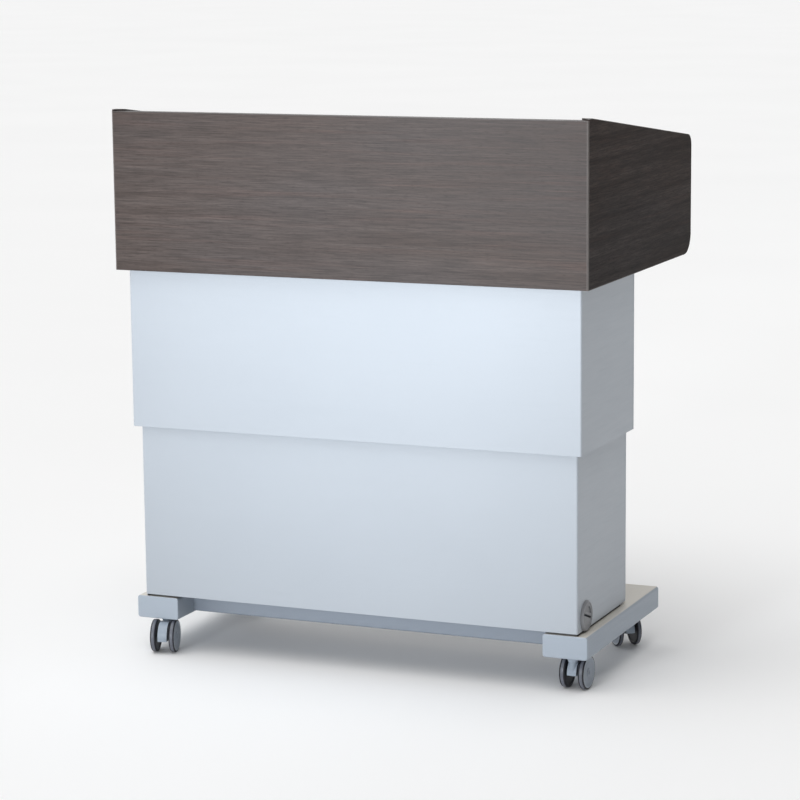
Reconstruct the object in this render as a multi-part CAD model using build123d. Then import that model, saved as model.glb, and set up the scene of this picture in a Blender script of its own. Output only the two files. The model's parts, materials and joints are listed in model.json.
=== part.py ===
from build123d import *
import math
import os

# Height-adjustable presentation lectern, in millimetres.
# Origin: on the floor, under the centre of the head. +X is to the right as the audience sees the
# lectern, -Y points at the audience, +Y at the presenter, +Z is up.
# The lectern is drawn with the lift fully raised.

# ---- overall ----
WIDTH = 900.0
DEPTH = 580.0
HEIGHT = 1000.0
FRONT = -DEPTH / 2
BACK = DEPTH / 2

# ---- wooden head ----
BOARD = 18.0
HEAD_BOTTOM = 712.0
FRONT_BOARD_TOP = 997.0
SLOPE = 7.0
INNER_FRONT = FRONT + BOARD
INNER_HALF = WIDTH / 2 - BOARD
SIDE_TOP_CORNER_R = 22.0
SIDE_BOTTOM_CORNER_R = 38.0
BAND = 1.0
CORNER_LIPPING_R = 3.0
DESK_DROP = 30.0
DESK_LENGTH = 538.0
PARTITION_Y = 20.0
SHELF_END_Y = 272.0
BOOK_STOP_LENGTH = 700.0
BOOK_STOP_THICK = 8.0
BOOK_STOP_HEIGHT = 12.0
BOOK_STOP_ROUND = 2.5

# ---- how far a cut runs past the face it starts from ----
PAST = 5.0

# ---- sheet-metal covers ----
SHEET = 1.2
BEND_R = 3.0
COVER_GAP_SIDE = 11.0
COVER_GAP_FRONT = 12.0
COVER_GAP_BACK = 9.0
UPPER_HALF = INNER_HALF
UPPER_FRONT = INNER_FRONT
UPPER_BACK = 13.0
UPPER_BOTTOM = 424.0
UPPER_TOP = 772.0
LOWER_HALF = UPPER_HALF - COVER_GAP_SIDE
LOWER_FRONT = UPPER_FRONT + COVER_GAP_FRONT
LOWER_BACK = UPPER_BACK - COVER_GAP_BACK
LOWER_BOTTOM = 108.0
LOWER_TOP = 540.0
PANEL_LIP = 9.5
PANEL_SEAM = 0.5
ANGLE_LEG = 18.0
ANGLE_SHEET = 1.5
ANGLE_RAISE = 4.0
PANEL_SCREW_EDGE = 12.2
UPPER_SCREW_HEIGHTS = (460.0, 570.0, 680.0)
LOWER_SCREW_HEIGHTS = (130.0, 290.0, 450.0)
BRACKET_SHEET = 2.0
BRACKET_RISE = 20.0
BRACKET_TAB = 28.0
BRACKET_SCREW_INSET = 16.0
BRACKET_FRONT = -257.0
BRACKET_BACK = -24.0
BRACKET_TABS = ((-225.0, -201.0), (-48.0, -24.0))

# ---- screws: head radius, head height, shank radius, shank length ----
PANEL_SCREW = (4.0, 2.2, 2.0, 6.0)
LEG_SCREW = (6.5, 5.0, 4.0, 12.0)
HEAD_ROUNDING = 0.4
DRIVE_SIZE = 0.45
DRIVE_DEPTH = 0.5

# ---- base frame ----
FOOT_X = 397.5
FOOT_WIDTH = 83.0
FOOT_BOTTOM = 62.5
FOOT_TOP = 104.0
FOOT_FRONT = -260.0
FOOT_BACK = 142.0
FOOT_WALL = 2.5
FOOT_CORNER_R = 5.0
CAP_FLANGE = 4.0
CAP_EDGE_R = 2.0
CAP_PLUG = 6.0
CAP_FIT = 0.2
CROSSBAR_FRONT = -196.0
CROSSBAR_BACK = -66.0
CROSSBAR_BOTTOM = 66.0
CROSSBAR_WALL = 2.5
CROSSBAR_CORNER_R = 4.0

# ---- lifting columns ----
LEG_X = 388.0
LEG_Y = -129.0
OUTER_X = 50.0
OUTER_Y = 80.0
OUTER_TOP = 590.0
OUTER_CORNER_R = 5.0
INNER_X = 40.0
INNER_Y = 70.0
INNER_TUBE_BOTTOM = 400.0
INNER_CORNER_R = 4.0
LEG_WALL = 2.0
GLIDE_HEIGHT = 40.0
GLIDE_PLAY = 0.1
PLATE_X = 56.0
PLATE_Y = 130.0
PLATE_THICK = 6.0
LEG_SCREW_DX = 18.0
LEG_SCREW_DY = 53.0
NUT_TUBE_R = 14.0
NUT_TUBE_BORE_R = 10.0
NUT_BOTTOM = 520.0
NUT_HEIGHT = 30.0
SPINDLE_R = 8.0
SPINDLE_PLAY = 0.05
SPINDLE_BOTTOM = 500.0
SPINDLE_TOP = 898.0
SPINDLE_HOLE_PLAY = 3.0
SPINDLE_END_PLAY = 1.0

# ---- lift beam and drives ----
BEAM_BOTTOM = 868.0
BEAM_SHEET = 3.0
BEAM_HALF_Y = 55.0
BEAM_TOP = 908.0
GEARBOX_OUT_X = 425.0
GEARBOX_IN_X = 343.0
GEARBOX_HALF_Y = 45.0
GEARBOX_HEIGHT = 45.0
GEARBOX_CORNER_R = 6.0
MOTOR_R = 25.0
MOTOR_LENGTH = 110.0
MOTOR_RAISE = 1.0
MOTOR_BOSS_R = 9.0
MOTOR_BOSS_LENGTH = 6.0
CONTROL_HALF_X = 110.0
CONTROL_HALF_Y = 41.0
CONTROL_HEIGHT = 32.0
CONTROL_CORNER_R = 5.0
CONTROL_TOP_R = 2.0
LEAD_R = 3.0
LEAD_SIDESTEP = 16.0
LEAD_TURN = 32.0
LEAD_BEND_SHARE = 0.45

# ---- hand switch ----
SWITCH_X = -340.0
SWITCH_WIDTH = 80.0
SWITCH_DEPTH = 30.0
SWITCH_HEIGHT = 20.0
SWITCH_SETBACK = 4.0
SWITCH_ROUND = 3.0
BUTTON_SIZE = 12.0
BUTTON_PITCH = 26.0
BUTTON_PROUD = 2.5
BUTTON_STROKE = 1.5
BUTTON_PLAY = 0.3
BUTTON_STEM = 8.0
BUTTON_ROUND = 1.0
BUTTON_END_PLAY = 0.5

# ---- cable grommet and mains inlet ----
GROMMET_Y = -218.0
GROMMET_Z = 132.2
GROMMET_R = 27.5
GROMMET_HOLE_R = 22.5
GROMMET_FLANGE = 4.5
GROMMET_BEVEL = 3.0
GROMMET_SLEEVE = 11.0
GROMMET_BORE_R = 22.5
GROMMET_SEAT = 2.0
CAP_R = 22.4
CAP_THICK = 3.5
CAP_SINK = 0.5
CAP_RECESS_R = 18.0
CAP_RECESS_DEPTH = 2.0
CAP_PLAY = 0.1
CAP_GROOVE = 0.8
CAP_WEB = 7.0
SLOT_LENGTH = 38.0
SLOT_WIDTH = 4.0
SLOT_TILT = -20.0
INLET_X = -300.0
INLET_Z = 141.0
INLET_WIDTH = 30.0
INLET_HEIGHT = 22.0
INLET_DEPTH = 22.0
INLET_RECESS_W = 25.0
INLET_RECESS_H = 17.0
INLET_RECESS_D = 17.0
INLET_FLANGE = 2.0
INLET_FLANGE_W = 50.0
INLET_MARGIN = 1.0
INLET_CORNER_R = 3.0
BLADE_HALF_X = 1.0
BLADE_HALF_Z = 2.0
BLADE_SETBACK = 4.0
BLADE_PLACES = ((-7.0, -3.5), (0.0, 0.5), (7.0, -3.5))

# ---- casters ----
WHEEL_R = 30.0
WHEEL_WIDTH = 11.0
WHEEL_OFFSET = 17.5
WHEEL_ROUND = 2.5
TYRE_THICK = 4.0
HUB_RECESS = 1.0
AXLE_R = 3.0
AXLE_INSET = 2.0
TRAIL = 20.0
CASTER_FRONT_INSET = 26.0
CASTER_BACK_INSET = 65.0
CASTER_SHIFT = 6.0
CASTER_BODY_WIDTH = 17.0
CASTER_BODY_BOTTOM = 24.0
CASTER_BODY_TOP = 60.7
FENDER_R = 27.0
NECK_R = 11.0
NECK_LOW_R = 7.0
NECK_BOTTOM = 28.0
NECK_CONE_BOTTOM = 50.0
NECK_CONE_TOP = 59.5
SOCKET_R = 13.0
SOCKET_FLANGE = 1.5
SOCKET_SLEEVE_R = 7.0
SOCKET_SLEEVE_TOP = 76.0
KINGPIN_R = 4.0
KINGPIN_BOTTOM = 45.0
KINGPIN_PLAY = 0.05
KINGPIN_END_PLAY = 1.0
# corner: (side, y of the swivel axis, heading of the trail in degrees from +X)
CASTERS = {
    "front_left": (-1, FOOT_FRONT + CASTER_FRONT_INSET, -76.0),
    "front_right": (1, FOOT_FRONT + CASTER_FRONT_INSET, 88.0),
    "rear_left": (-1, FOOT_BACK - CASTER_BACK_INSET, 90.0),
    "rear_right": (1, FOOT_BACK - CASTER_BACK_INSET, 130.0),
}

TAN_SLOPE = math.tan(math.radians(SLOPE))
SIN_SLOPE = math.sin(math.radians(SLOPE))
COS_SLOPE = math.cos(math.radians(SLOPE))
SIDES = (-1, 1)


# ---- helpers ----
def block(x0, x1, y0, y1, z0, z1):
    """A box given by its six faces."""
    centre = Pos((x0 + x1) / 2, (y0 + y1) / 2, (z0 + z1) / 2)
    return centre * Box(abs(x1 - x0), abs(y1 - y0), abs(z1 - z0))


def rod(x, y, z0, z1, radius):
    """An upright cylinder between two heights."""
    return Pos(x, y, (z0 + z1) / 2) * Cylinder(radius, z1 - z0)


def rod_x(x0, x1, y, z, radius):
    """A cylinder along X."""
    return Pos((x0 + x1) / 2, y, z) * Rot(0, 90, 0) * Cylinder(radius, abs(x1 - x0))


def rod_y(x, y0, y1, z, radius):
    """A cylinder along Y."""
    return Pos(x, (y0 + y1) / 2, z) * Rot(90, 0, 0) * Cylinder(radius, abs(y1 - y0))


def upright_tube(x, y, size_x, size_y, wall, corner_r, z0, z1):
    """A rectangular tube along Z with rounded corners."""
    outer = RectangleRounded(size_x, size_y, corner_r)
    inner = RectangleRounded(size_x - 2 * wall, size_y - 2 * wall, corner_r - wall)
    return Pos(x, y, z0) * extrude(outer - inner, z1 - z0)


def pan_head_screw(head_r, head_h, shank_r, shank_l):
    """A screw along Z with its head's underside at z = 0 and the shank below."""
    head = Pos(0, 0, head_h / 2) * Cylinder(head_r, head_h)
    head = fillet(head.edges().group_by(Axis.Z)[-1], head_h * HEAD_ROUNDING)
    drive = Pos(0, 0, head_h) * extrude(RegularPolygon(head_r * DRIVE_SIZE, 6), -head_h * DRIVE_DEPTH)
    shank = Pos(0, 0, -shank_l / 2) * Cylinder(shank_r, shank_l)
    return head - drive + shank


def round_corner(face, x, y, radius):
    """Round the corner of a face that lies nearest to a point."""
    corner = min(face.vertices(), key=lambda v: math.hypot(v.X - x, v.Y - y))
    return fillet(corner, radius)


def save(node, *solids):
    """Write one node's solids to its STEP file."""
    pieces = []
    for item in solids:
        pieces.extend(item.solids())
    shape = pieces[0] if len(pieces) == 1 else Compound(children=pieces)
    shape.label = node
    export_step(shape, os.path.join("parts", node + ".step"))


# ---- wooden head ----
def desk_plane():
    """Plane of the desk's top: local x along X, local y down the slope, z off the surface."""
    origin = (0, INNER_FRONT, HEIGHT - DESK_DROP)
    return Plane(origin=origin, x_dir=(1, 0, 0), z_dir=(0, SIN_SLOPE, COS_SLOPE))


def desk_underside(y):
    """Height of the desk board's underside at a given y."""
    return HEIGHT - DESK_DROP - TAN_SLOPE * (y - INNER_FRONT) - BOARD / COS_SLOPE


def side_outline(inset):
    """Face of a side board seen from the side, drawn in by a margin at top, back and bottom."""
    top_inset = inset / COS_SLOPE
    back_y = BACK - inset
    back_top = HEIGHT - TAN_SLOPE * (back_y - INNER_FRONT) - top_inset
    front_y = FRONT + CORNER_LIPPING_R
    face = Polygon(
        (front_y, HEAD_BOTTOM + inset),
        (back_y, HEAD_BOTTOM + inset),
        (back_y, back_top),
        (INNER_FRONT, HEIGHT - top_inset),
        (front_y, HEIGHT - top_inset),
        align=None,
    )
    face = round_corner(face, back_y, HEAD_BOTTOM, SIDE_BOTTOM_CORNER_R - inset)
    return round_corner(face, back_y, back_top, SIDE_TOP_CORNER_R - inset)


def side_plate(face, side):
    """A side outline given the board's thickness on one side of the head, mitred at its front."""
    x0 = INNER_HALF if side > 0 else -WIDTH / 2
    mitre_x = side * (WIDTH / 2 - CORNER_LIPPING_R)
    waste = Polygon(
        (mitre_x, FRONT + CORNER_LIPPING_R),
        (side * INNER_HALF, FRONT + CORNER_LIPPING_R),
        (side * INNER_HALF, INNER_FRONT),
        align=None,
    )
    return extrude(Plane.YZ.offset(x0) * face, BOARD) - extrude(waste, 2 * HEIGHT, dir=(0, 0, 1))


def front_plan():
    """Plan of the front board: mitred ends, and a notch for the lipping at each front corner."""
    reach = WIDTH / 2 - CORNER_LIPPING_R
    right = [
        (reach, FRONT),
        (reach, FRONT + CORNER_LIPPING_R),
        (INNER_HALF, INNER_FRONT),
    ]
    left = [(-x, y) for x, y in reversed(right)]
    return Polygon(*right, *left, align=None)


def corner_lipping(side):
    """Solid quarter-round down a front corner of the head."""
    centre = Pos(side * (WIDTH / 2 - CORNER_LIPPING_R), FRONT + CORNER_LIPPING_R)
    corner = centre * Pos(side * CORNER_LIPPING_R / 2, -CORNER_LIPPING_R / 2)
    section = (centre * Circle(CORNER_LIPPING_R)) & (corner * Rectangle(CORNER_LIPPING_R, CORNER_LIPPING_R))
    return Pos(0, 0, HEAD_BOTTOM) * extrude(section, FRONT_BOARD_TOP - HEAD_BOTTOM, dir=(0, 0, 1))


def make_head_boards():
    top_of_board = FRONT_BOARD_TOP - BAND
    board = extrude(front_plan(), top_of_board - HEAD_BOTTOM, dir=(0, 0, 1))
    save("front_board", Pos(0, 0, HEAD_BOTTOM) * board)
    bands = [Pos(0, 0, top_of_board) * extrude(front_plan(), BAND, dir=(0, 0, 1))]
    for side in SIDES:
        name = "side_board_right" if side > 0 else "side_board_left"
        save(name, side_plate(side_outline(BAND), side))
        bands.append(side_plate(side_outline(0) - side_outline(BAND), side))
        bands.append(corner_lipping(side))
    save("edge_bands", *bands)


def make_desk():
    start = BOARD * TAN_SLOPE
    plane = desk_plane()
    desk_face = Pos(0, (start + DESK_LENGTH) / 2) * Rectangle(2 * INNER_HALF, DESK_LENGTH - start)
    board = extrude(plane * desk_face, -BOARD)
    save("desk_board", board)
    stop_face = Pos(0, DESK_LENGTH + BOOK_STOP_THICK / 2) * Rectangle(BOOK_STOP_LENGTH, BOOK_STOP_THICK)
    stop = extrude(plane.offset(-BOARD) * stop_face, BOARD + BOOK_STOP_HEIGHT)
    stop = fillet(stop.edges().filter_by(Axis.X).sort_by(Axis.Z)[-2:], BOOK_STOP_ROUND)
    save("book_stop", stop)
    far_y = PARTITION_Y + BOARD
    partition_face = Polygon(
        (PARTITION_Y, HEAD_BOTTOM),
        (far_y, HEAD_BOTTOM),
        (far_y, desk_underside(far_y)),
        (PARTITION_Y, desk_underside(PARTITION_Y)),
        align=None,
    )
    partition = extrude(Plane.YZ.offset(-INNER_HALF) * partition_face, 2 * INNER_HALF)
    save("partition_board", partition)
    shelf = block(-INNER_HALF, INNER_HALF, far_y, SHELF_END_Y, HEAD_BOTTOM, HEAD_BOTTOM + BOARD)
    save("shelf_board", shelf)


# ---- covers ----
def folded_channel(half, y_web, y_end):
    """Plan outline of a sheet folded into a U: a web at y_web and two sides that reach y_end."""
    def outline(margin, corner_r, reach):
        y_near = y_web + math.copysign(margin, reach - y_web)
        face = Polygon(
            (-half + margin, y_near),
            (half - margin, y_near),
            (half - margin, reach),
            (-half + margin, reach),
            align=None,
        )
        corners = [v for v in face.vertices() if abs(v.Y - y_near) < 0.01]
        return fillet(corners, corner_r)

    past_end = y_end + math.copysign(PAST, y_end - y_web)
    return outline(0, BEND_R, y_end) - outline(SHEET, BEND_R - SHEET, past_end)


def cover_shell(half, y_front, y_back, z0, z1):
    """Front and both sides of a cover, folded from one sheet."""
    y_end = y_back - PANEL_LIP - PANEL_SEAM
    return Pos(0, 0, z0) * extrude(folded_channel(half, y_front, y_end), z1 - z0, dir=(0, 0, 1))


def cover_panel(half, y_back, z0, z1):
    """Rear panel of a cover, with a short lip on each side."""
    y_end = y_back - PANEL_LIP
    return Pos(0, 0, z0) * extrude(folded_channel(half, y_back, y_end), z1 - z0, dir=(0, 0, 1))


def corner_angles(half, y_back, z0, z1):
    """Two angles in the rear corners that join a shell's sides to its rear panel."""
    x_out = half - SHEET
    y_out = y_back - SHEET
    x_in = x_out - ANGLE_SHEET
    y_in = y_out - ANGLE_SHEET
    angles = []
    for side in SIDES:
        side_leg = block(side * x_in, side * x_out, y_out - ANGLE_LEG, y_out - BEND_R, z0, z1)
        back_leg = block(side * (x_out - ANGLE_LEG), side * (x_out - BEND_R), y_in, y_out, z0, z1)
        corner = block(side * (x_in - BEND_R), side * x_in, y_in - BEND_R, y_in, z0, z1)
        angles.append(side_leg + back_leg + corner)
    return angles


def rear_screws(half, y_back, heights):
    """Screws through a rear panel into its corner angles."""
    screw = pan_head_screw(*PANEL_SCREW)
    x = half - PANEL_SCREW_EDGE
    return [Pos(side * x, y_back, z) * Rot(-90, 0, 0) * screw for side in SIDES for z in heights]


def screw_holes(half, y_back, heights):
    """Clearance for the shanks of the rear screws."""
    x = half - PANEL_SCREW_EDGE
    y0 = y_back - 2 * PAST
    y1 = y_back + PAST
    return [rod_y(side * x, y0, y1, z, PANEL_SCREW[2]) for side in SIDES for z in heights]


def make_upper_cover():
    holes = screw_holes(UPPER_HALF, UPPER_BACK, UPPER_SCREW_HEIGHTS)
    save("upper_front_shell", cover_shell(UPPER_HALF, UPPER_FRONT, UPPER_BACK, UPPER_BOTTOM, UPPER_TOP))
    save("upper_rear_panel", cover_panel(UPPER_HALF, UPPER_BACK, UPPER_BOTTOM, UPPER_TOP) - holes)
    angles = corner_angles(UPPER_HALF, UPPER_BACK, UPPER_BOTTOM + ANGLE_RAISE, UPPER_TOP)
    save("upper_corner_angles", *[angle - holes for angle in angles])
    save("upper_panel_screws", *rear_screws(UPPER_HALF, UPPER_BACK, UPPER_SCREW_HEIGHTS))


def make_lower_cover():
    holes = screw_holes(LOWER_HALF, LOWER_BACK, LOWER_SCREW_HEIGHTS)
    shell = cover_shell(LOWER_HALF, LOWER_FRONT, LOWER_BACK, LOWER_BOTTOM, LOWER_TOP)
    save("lower_front_shell", shell - grommet_hole())
    panel = cover_panel(LOWER_HALF, LOWER_BACK, LOWER_BOTTOM, LOWER_TOP) - holes
    save("lower_rear_panel", panel - inlet_body())
    angles = corner_angles(LOWER_HALF, LOWER_BACK, LOWER_BOTTOM + ANGLE_RAISE, LOWER_TOP)
    save("lower_corner_angles", *[angle - holes for angle in angles])
    screws = rear_screws(LOWER_HALF, LOWER_BACK, LOWER_SCREW_HEIGHTS)
    brackets = []
    for side in SIDES:
        brackets.append(cover_bracket(side) - grommet_hole())
        for x, y in bracket_screw_places(side):
            screws.append(Pos(x, y, FOOT_TOP + BRACKET_SHEET) * pan_head_screw(*PANEL_SCREW))
    save("lower_cover_brackets", *brackets)
    save("lower_cover_screws", *screws)


def bracket_screw_places(side):
    """Where a cover bracket's tabs are screwed to the foot: x, y."""
    x = side * (LOWER_HALF - SHEET - BRACKET_SCREW_INSET)
    return [(x, (y0 + y1) / 2) for y0, y1 in BRACKET_TABS]


def cover_bracket(side):
    """Strip inside a side wall of the lower cover, with tabs screwed down to the foot."""
    wall_x = side * (LOWER_HALF - SHEET)
    inner_x = wall_x - side * BRACKET_SHEET
    bracket = block(inner_x, wall_x, BRACKET_FRONT, BRACKET_BACK, FOOT_TOP, FOOT_TOP + BRACKET_RISE)
    for y0, y1 in BRACKET_TABS:
        bracket += block(wall_x - side * BRACKET_TAB, wall_x, y0, y1, FOOT_TOP, FOOT_TOP + BRACKET_SHEET)
    for x, y in bracket_screw_places(side):
        bracket -= rod(x, y, FOOT_TOP - PAST, FOOT_TOP + PAST, PANEL_SCREW[2])
    return bracket


# ---- cable grommet ----
def grommet_hole():
    """Hole for the grommet's sleeve through the right wall of the lower cover."""
    return rod_x(LOWER_HALF - 2 * PAST, LOWER_HALF + 2 * PAST, GROMMET_Y, GROMMET_Z, GROMMET_HOLE_R)


def make_grommet():
    face_x = LOWER_HALF
    front_x = face_x + GROMMET_FLANGE
    seat_x = front_x - CAP_SINK - CAP_THICK
    ring = rod_x(face_x, front_x, GROMMET_Y, GROMMET_Z, GROMMET_R)
    ring = chamfer(ring.edges().group_by(Axis.X)[-1], GROMMET_BEVEL)
    ring += rod_x(face_x - GROMMET_SLEEVE, face_x, GROMMET_Y, GROMMET_Z, GROMMET_HOLE_R)
    ring -= rod_x(seat_x, front_x, GROMMET_Y, GROMMET_Z, GROMMET_BORE_R)
    ring -= rod_x(face_x - GROMMET_SLEEVE, front_x, GROMMET_Y, GROMMET_Z, GROMMET_BORE_R - GROMMET_SEAT)
    save("grommet_ring", ring)

    cap = rod_x(seat_x + CAP_PLAY, seat_x + CAP_THICK, GROMMET_Y, GROMMET_Z, CAP_R)
    centre = (seat_x + CAP_THICK, GROMMET_Y, GROMMET_Z)
    cap_face = Plane(origin=centre, x_dir=(0, 1, 0), z_dir=(1, 0, 0)) * Rot(0, 0, SLOT_TILT)
    cap -= extrude(cap_face * SlotOverall(SLOT_LENGTH, SLOT_WIDTH), -CAP_THICK)
    recess = Circle(CAP_RECESS_R)
    lower_side = Pos(0, -CAP_RECESS_R) * Rectangle(4 * CAP_RECESS_R, 2 * (CAP_RECESS_R + CAP_WEB))
    groove = recess - Circle(CAP_RECESS_R - CAP_GROOVE)
    cap -= extrude(cap_face * (recess - lower_side), -CAP_RECESS_DEPTH)
    cap -= extrude(cap_face * groove, -CAP_GROOVE)
    save("grommet_cap", cap)


# ---- mains inlet on the lower rear panel ----
def inlet_block(half_w, half_h, y0, y1):
    """A box centred on the inlet, given its half width, half height and depth range."""
    return block(INLET_X - half_w, INLET_X + half_w, y0, y1, INLET_Z - half_h, INLET_Z + half_h)


def inlet_body():
    """The inlet's body where it passes through the panel."""
    return inlet_block(INLET_WIDTH / 2, INLET_HEIGHT / 2, LOWER_BACK - INLET_DEPTH, LOWER_BACK)


def make_mains_inlet():
    mouth = LOWER_BACK + INLET_FLANGE
    flange = inlet_block(INLET_FLANGE_W / 2, INLET_HEIGHT / 2 + INLET_MARGIN, LOWER_BACK, mouth)
    flange = fillet(flange.edges().filter_by(Axis.Y), INLET_CORNER_R)
    recess = inlet_block(INLET_RECESS_W / 2, INLET_RECESS_H / 2, mouth - INLET_RECESS_D, mouth)
    inlet = inlet_body() + flange - recess
    for dx, dz in BLADE_PLACES:
        x = INLET_X + dx
        z = INLET_Z + dz
        inlet += block(
            x - BLADE_HALF_X, x + BLADE_HALF_X,
            mouth - INLET_RECESS_D, mouth - BLADE_SETBACK, z - BLADE_HALF_Z, z + BLADE_HALF_Z,
        )
    save("mains_inlet", inlet)


# ---- base frame ----
def make_feet():
    holes = []
    for side in SIDES:
        for dx, dy in leg_screw_places():
            holes.append(rod(side * LEG_X + dx, LEG_Y + dy, FOOT_TOP - PAST, FOOT_TOP + PAST, LEG_SCREW[2]))
        for x, y in bracket_screw_places(side):
            holes.append(rod(x, y, FOOT_TOP - PAST, FOOT_TOP + PAST, PANEL_SCREW[2]))
    for x, y, _ in caster_places():
        holes.append(rod(x, y, FOOT_BOTTOM - PAST, FOOT_BOTTOM + PAST, SOCKET_SLEEVE_R))
    caps = []
    height = FOOT_TOP - FOOT_BOTTOM
    mid_z = (FOOT_TOP + FOOT_BOTTOM) / 2
    section = RectangleRounded(FOOT_WIDTH, height, FOOT_CORNER_R)
    hollow = RectangleRounded(FOOT_WIDTH - 2 * FOOT_WALL, height - 2 * FOOT_WALL, FOOT_CORNER_R - FOOT_WALL)
    plug_margin = 2 * (FOOT_WALL + CAP_FIT)
    plug = RectangleRounded(FOOT_WIDTH - plug_margin, height - plug_margin, FOOT_CORNER_R - FOOT_WALL)
    for side in SIDES:
        at_front = Plane(origin=(side * FOOT_X, FOOT_FRONT, mid_z), x_dir=(1, 0, 0), z_dir=(0, -1, 0))
        tube_length = FOOT_BACK - FOOT_FRONT - 2 * CAP_FLANGE
        tube = extrude(at_front.offset(-CAP_FLANGE) * (section - hollow), -tube_length)
        save("foot_right" if side > 0 else "foot_left", tube - holes)
        at_back = Plane(origin=(side * FOOT_X, FOOT_BACK, mid_z), x_dir=(-1, 0, 0), z_dir=(0, 1, 0))
        for plane in (at_front, at_back):
            flange = extrude(plane * section, -CAP_FLANGE)
            outer_edges = flange.edges().group_by(Axis.Y)[0 if plane is at_front else -1]
            flange = fillet(outer_edges, CAP_EDGE_R)
            caps.append(flange + extrude(plane.offset(-CAP_FLANGE) * plug, -CAP_PLUG))
    save("foot_end_caps", *caps)


def make_crossbar():
    reach = FOOT_X - FOOT_WIDTH / 2
    depth = CROSSBAR_BACK - CROSSBAR_FRONT
    height = FOOT_TOP - CROSSBAR_BOTTOM
    section = RectangleRounded(depth, height, CROSSBAR_CORNER_R)
    section -= RectangleRounded(
        depth - 2 * CROSSBAR_WALL, height - 2 * CROSSBAR_WALL, CROSSBAR_CORNER_R - CROSSBAR_WALL,
    )
    plane = Plane(
        origin=(-reach, (CROSSBAR_FRONT + CROSSBAR_BACK) / 2, (CROSSBAR_BOTTOM + FOOT_TOP) / 2),
        x_dir=(0, 1, 0),
        z_dir=(1, 0, 0),
    )
    save("crossbar", extrude(plane * section, 2 * reach))


# ---- lifting columns ----
def leg_screw_places():
    """Offsets of a base plate's four screws from the leg's axis."""
    return [(dx, dy) for dx in (-LEG_SCREW_DX, LEG_SCREW_DX) for dy in (-LEG_SCREW_DY, LEG_SCREW_DY)]


def make_legs():
    plates, screws, glides, nut_tubes, nuts, inner_tubes = [], [], [], [], [], []
    plate_top = FOOT_TOP + PLATE_THICK
    leg_screw = pan_head_screw(*LEG_SCREW)
    bore_x = OUTER_X - 2 * LEG_WALL
    bore_y = OUTER_Y - 2 * LEG_WALL
    for side in SIDES:
        x = side * LEG_X
        plate = Pos(x, LEG_Y, FOOT_TOP + PLATE_THICK / 2) * Box(PLATE_X, PLATE_Y, PLATE_THICK)
        for dx, dy in leg_screw_places():
            plate -= rod(x + dx, LEG_Y + dy, FOOT_TOP - PAST, plate_top + PAST, LEG_SCREW[2])
            screws.append(Pos(x + dx, LEG_Y + dy, plate_top) * leg_screw)
        plates.append(plate)
        outer = upright_tube(x, LEG_Y, OUTER_X, OUTER_Y, LEG_WALL, OUTER_CORNER_R, plate_top, OUTER_TOP)
        save("leg_outer_tube_right" if side > 0 else "leg_outer_tube_left", outer)
        collar = RectangleRounded(bore_x, bore_y, OUTER_CORNER_R - LEG_WALL)
        collar -= RectangleRounded(
            INNER_X + 2 * GLIDE_PLAY, INNER_Y + 2 * GLIDE_PLAY, INNER_CORNER_R + GLIDE_PLAY,
        )
        glides.append(Pos(x, LEG_Y, OUTER_TOP - GLIDE_HEIGHT) * extrude(collar, GLIDE_HEIGHT))
        inner = upright_tube(
            x, LEG_Y, INNER_X, INNER_Y, LEG_WALL, INNER_CORNER_R, INNER_TUBE_BOTTOM, BEAM_BOTTOM,
        )
        inner_tubes.append(inner)
        nut_tube = rod(x, LEG_Y, plate_top, NUT_BOTTOM, NUT_TUBE_R)
        nut_tubes.append(nut_tube - rod(x, LEG_Y, plate_top, NUT_BOTTOM, NUT_TUBE_BORE_R))
        nut = Pos(x, LEG_Y, NUT_BOTTOM) * extrude(RegularPolygon(NUT_TUBE_R, 6), NUT_HEIGHT)
        nut -= rod(x, LEG_Y, NUT_BOTTOM - PAST, NUT_BOTTOM + NUT_HEIGHT + PAST, SPINDLE_R + SPINDLE_PLAY)
        nuts.append(nut)
        spindle = rod(x, LEG_Y, SPINDLE_BOTTOM, SPINDLE_TOP, SPINDLE_R)
        save("spindle_right" if side > 0 else "spindle_left", spindle)
    save("leg_base_plates", *plates)
    save("leg_screws", *screws)
    save("leg_glides", *glides)
    save("nut_tubes", *nut_tubes)
    save("spindle_nuts", *nuts)
    save("leg_inner_tubes", *inner_tubes)


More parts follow.
